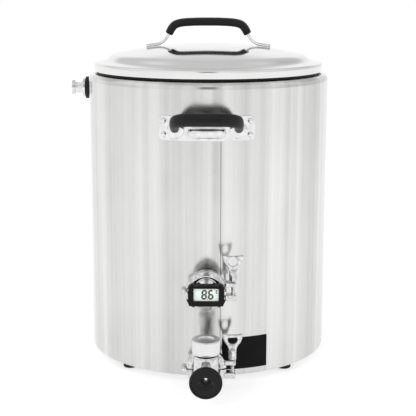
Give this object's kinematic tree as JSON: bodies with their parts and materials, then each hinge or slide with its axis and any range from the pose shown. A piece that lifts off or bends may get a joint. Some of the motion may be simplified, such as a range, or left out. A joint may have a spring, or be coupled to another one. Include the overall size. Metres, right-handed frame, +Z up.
{
  "type": "brew kettle",
  "caption": "Double-walled insulated brew kettle with a domed lift-off lid, clamped digital thermometer, quarter-turn drain valve, side inlet and false bottom.",
  "frame": {"origin": "on the vessel's vertical axis, in the plane that the feet rest on", "axes": "+Z up along the vessel's axis, -Y towards the valve and the thermometer (the front), +X to the viewer's right"},
  "size_m": [0.4502, 0.5996, 0.5943],
  "materials": {
    "shell_steel": "vertically brushed, slightly wavy sheet",
    "inner_steel": "plain mill finish, food grade",
    "base_steel": "plain sheet",
    "lid_steel": "brushed in circles",
    "fitting_steel": "satin, machined",
    "knob_steel": "satin side, plain top",
    "handle_steel": "satin",
    "polished_steel": "polished",
    "clamp_steel": "cast and polished",
    "fastener_steel": "polished",
    "insulation_foam": "rigid foam, hidden",
    "silicone_rubber": "black silicone",
    "grip_rubber": "black moulded silicone",
    "foot_rubber": "black",
    "badge_plastic": "black, plain",
    "thermometer_case": "black, satin",
    "thermometer_lens": "clear window",
    "thermometer_display": "liquid crystal panel",
    "seat_plastic": "white fluoropolymer",
    "outlet_plastic": "black, glossy"
  },
  "bodies": {
    "vessel": {"outer_shell": "shell_steel", "inner_vessel": "inner_steel", "wall_insulation": "insulation_foam", "base_insulation": "insulation_foam", "base_cover": "base_steel", "drain_pipe": "fitting_steel", "badge_plate": "badge_plastic", "inlet_fitting": "fitting_steel", "inlet_gasket": "silicone_rubber", "inlet_locknut": "fitting_steel", "thermometer_ferrule": "fitting_steel", "thermometer_gasket": "silicone_rubber", "thermowell": "polished_steel", "valve_gasket": "silicone_rubber", "valve_inlet_cap": "fitting_steel", "valve_body": "fitting_steel", "valve_seat_rear": "seat_plastic", "valve_seat_front": "seat_plastic", "valve_packing_ring": "silicone_rubber", "valve_outlet_ring": "outlet_plastic", "foot_front_right": "foot_rubber", "foot_rear_right": "foot_rubber", "foot_rear_left": "foot_rubber", "foot_front_left": "foot_rubber", "front_handle_bracket": "handle_steel", "front_handle_grip": "grip_rubber", "front_handle_bolt_upper_left": "fastener_steel", "front_handle_bolt_upper_right": "fastener_steel", "front_handle_bolt_lower_left": "fastener_steel", "front_handle_bolt_lower_right": "fastener_steel", "rear_handle_bracket": "handle_steel", "rear_handle_grip": "grip_rubber", "rear_handle_bolt_upper_left": "fastener_steel", "rear_handle_bolt_upper_right": "fastener_steel", "rear_handle_bolt_lower_left": "fastener_steel", "rear_handle_bolt_lower_right": "fastener_steel", "thermometer_clamp_upper": "clamp_steel", "thermometer_clamp_lower": "clamp_steel", "thermometer_clamp_hinge_pin": "clamp_steel", "valve_clamp_upper": "clamp_steel", "valve_clamp_lower": "clamp_steel", "valve_clamp_hinge_pin": "clamp_steel"},
    "lid": {"lid_shell": "lid_steel", "lid_pan": "inner_steel", "lid_gasket": "silicone_rubber", "lid_handle_strap": "handle_steel", "lid_handle_grip": "grip_rubber"},
    "false_bottom": {"false_bottom": "inner_steel", "false_bottom_seal": "silicone_rubber"},
    "valve_handle": {"valve_knob": "knob_steel", "valve_stem": "polished_steel", "valve_ball": "polished_steel"},
    "thermometer_head_body": {"thermometer_head": "thermometer_case", "thermometer_lens": "thermometer_lens", "thermometer_display": "thermometer_display", "thermometer_probe": "polished_steel"},
    "thermometer_tee_bolt": {"thermometer_clamp_tee_bolt": "clamp_steel"},
    "thermometer_wing_nut": {"thermometer_clamp_wing_nut": "clamp_steel"},
    "valve_tee_bolt": {"valve_clamp_tee_bolt": "clamp_steel"},
    "valve_wing_nut": {"valve_clamp_wing_nut": "clamp_steel"}
  },
  "joints": [
    {"name": "lid_lift", "type": "slide", "parent": "vessel", "child": "lid", "axis": [0, 0, 1], "range_m": [0, 0.12]},
    {"name": "false_bottom_lift", "type": "slide", "parent": "vessel", "child": "false_bottom", "axis": [0, 0, 1], "range_m": [0, 0.06]},
    {"name": "valve_turn", "type": "hinge", "parent": "vessel", "child": "valve_handle", "pos_m": [0, -0.28, 0.041], "axis": [0, 0, 1], "range_deg": [0, 90]},
    {"name": "thermometer_turn", "type": "hinge", "parent": "vessel", "child": "thermometer_head_body", "pos_m": [0, -0.26, 0.172], "axis": [0, 1, 0], "range_deg": [-45, 45]},
    {"name": "thermometer_clamp_bolt_swing", "type": "hinge", "parent": "vessel", "child": "thermometer_tee_bolt", "pos_m": [0.0425, -0.247, 0.1605], "axis": [0, 1, 0], "range_deg": [0, 80]},
    {"name": "thermometer_clamp_nut_spin", "type": "hinge", "parent": "thermometer_tee_bolt", "child": "thermometer_wing_nut", "pos_m": [0.0425, -0.247, 0.202], "axis": [0, 0, 1], "continuous": true},
    {"name": "valve_clamp_bolt_swing", "type": "hinge", "parent": "vessel", "child": "valve_tee_bolt", "pos_m": [0.0425, -0.247, 0.0295], "axis": [0, 1, 0], "range_deg": [0, 80]},
    {"name": "valve_clamp_nut_spin", "type": "hinge", "parent": "valve_tee_bolt", "child": "valve_wing_nut", "pos_m": [0.0425, -0.247, 0.071], "axis": [0, 0, 1], "continuous": true}
  ]
}
